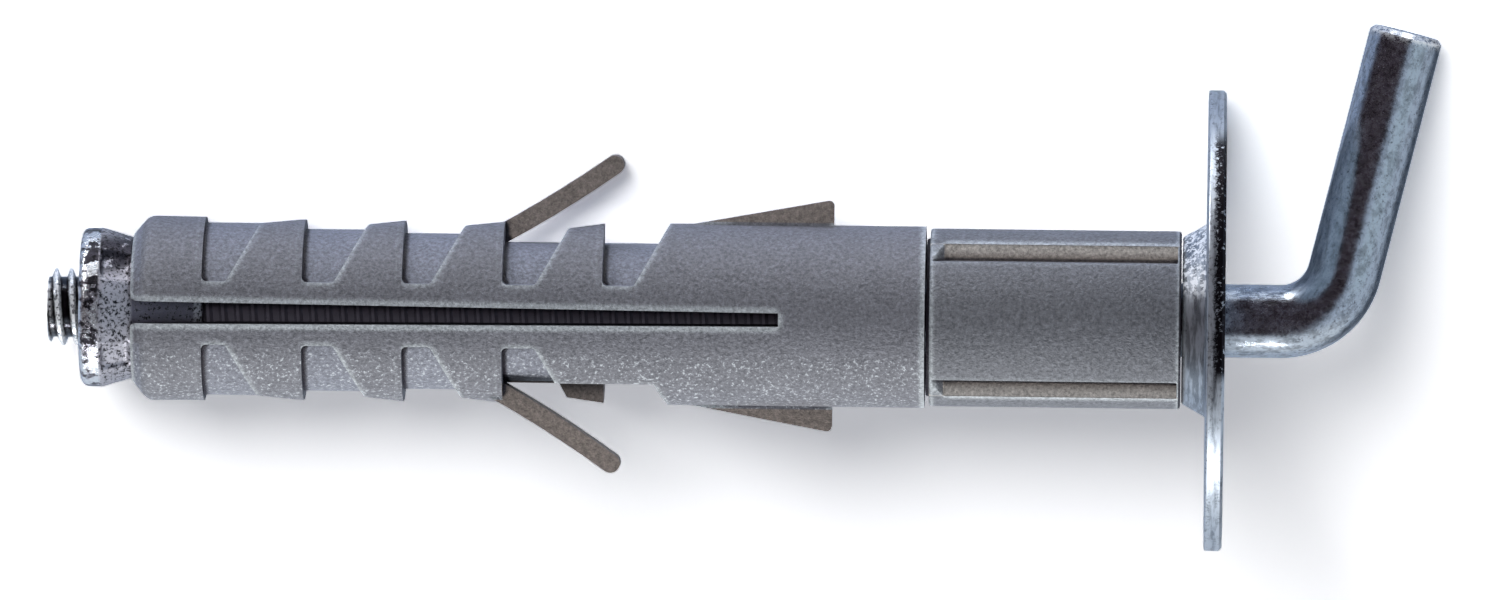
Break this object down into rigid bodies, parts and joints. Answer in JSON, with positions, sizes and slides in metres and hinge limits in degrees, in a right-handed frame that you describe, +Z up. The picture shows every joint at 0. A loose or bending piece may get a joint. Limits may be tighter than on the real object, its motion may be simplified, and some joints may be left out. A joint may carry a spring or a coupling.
{
  "type": "hook wall plug",
  "caption": "Screw hook in a slotted nylon expansion plug: cone nut at the tip, saw teeth, locking tongues, fins, grooved spacer sleeve and round cover washer.",
  "frame": {"origin": "on the table, under the middle of the part's box as it lies at rest", "axes": "+Z up; +X along the part towards the hook, level, under the bolt's axis"},
  "size_m": [0.094, 0.0306, 0.0306],
  "materials": {
    "zinc_plated_bar": "bright zinc plate",
    "zinc_plated_sheet": "bright zinc plate",
    "grey_nylon": "fine moulded grain",
    "cast_zinc": "die-cast, tumbled"
  },
  "bodies": {
    "plug": {"expansion_plug": "grey_nylon"},
    "hook": {"hook_bolt": "zinc_plated_bar"},
    "nut": {"cone_nut": "cast_zinc"},
    "sleeve": {"spacer_sleeve": "grey_nylon"},
    "washer": {"cover_washer": "zinc_plated_sheet"}
  },
  "joints": [
    {"name": "hook_turn", "type": "hinge", "parent": "plug", "child": "hook", "pos_m": [0.02979, 0, 0.01522], "axis": [-0.9915, 0, -0.1298], "range_deg": [-720, 90]},
    {"name": "nut_travel", "type": "slide", "parent": "plug", "child": "nut", "axis": [0.9915, 0, 0.1298], "range_m": [-0.002, 0.00025]},
    {"name": "sleeve_spin", "type": "hinge", "parent": "hook", "child": "sleeve", "pos_m": [0.02813, 0, 0.015], "axis": [0.9915, 0, 0.1298], "continuous": true},
    {"name": "washer_spin", "type": "hinge", "parent": "hook", "child": "washer", "pos_m": [0.02979, 0, 0.01522], "axis": [0.9915, 0, 0.1298], "continuous": true}
  ],
  "couplings": [
    {"joint": "nut_travel", "follows": "hook_turn", "m_per_rad": 0.00015915}
  ]
}
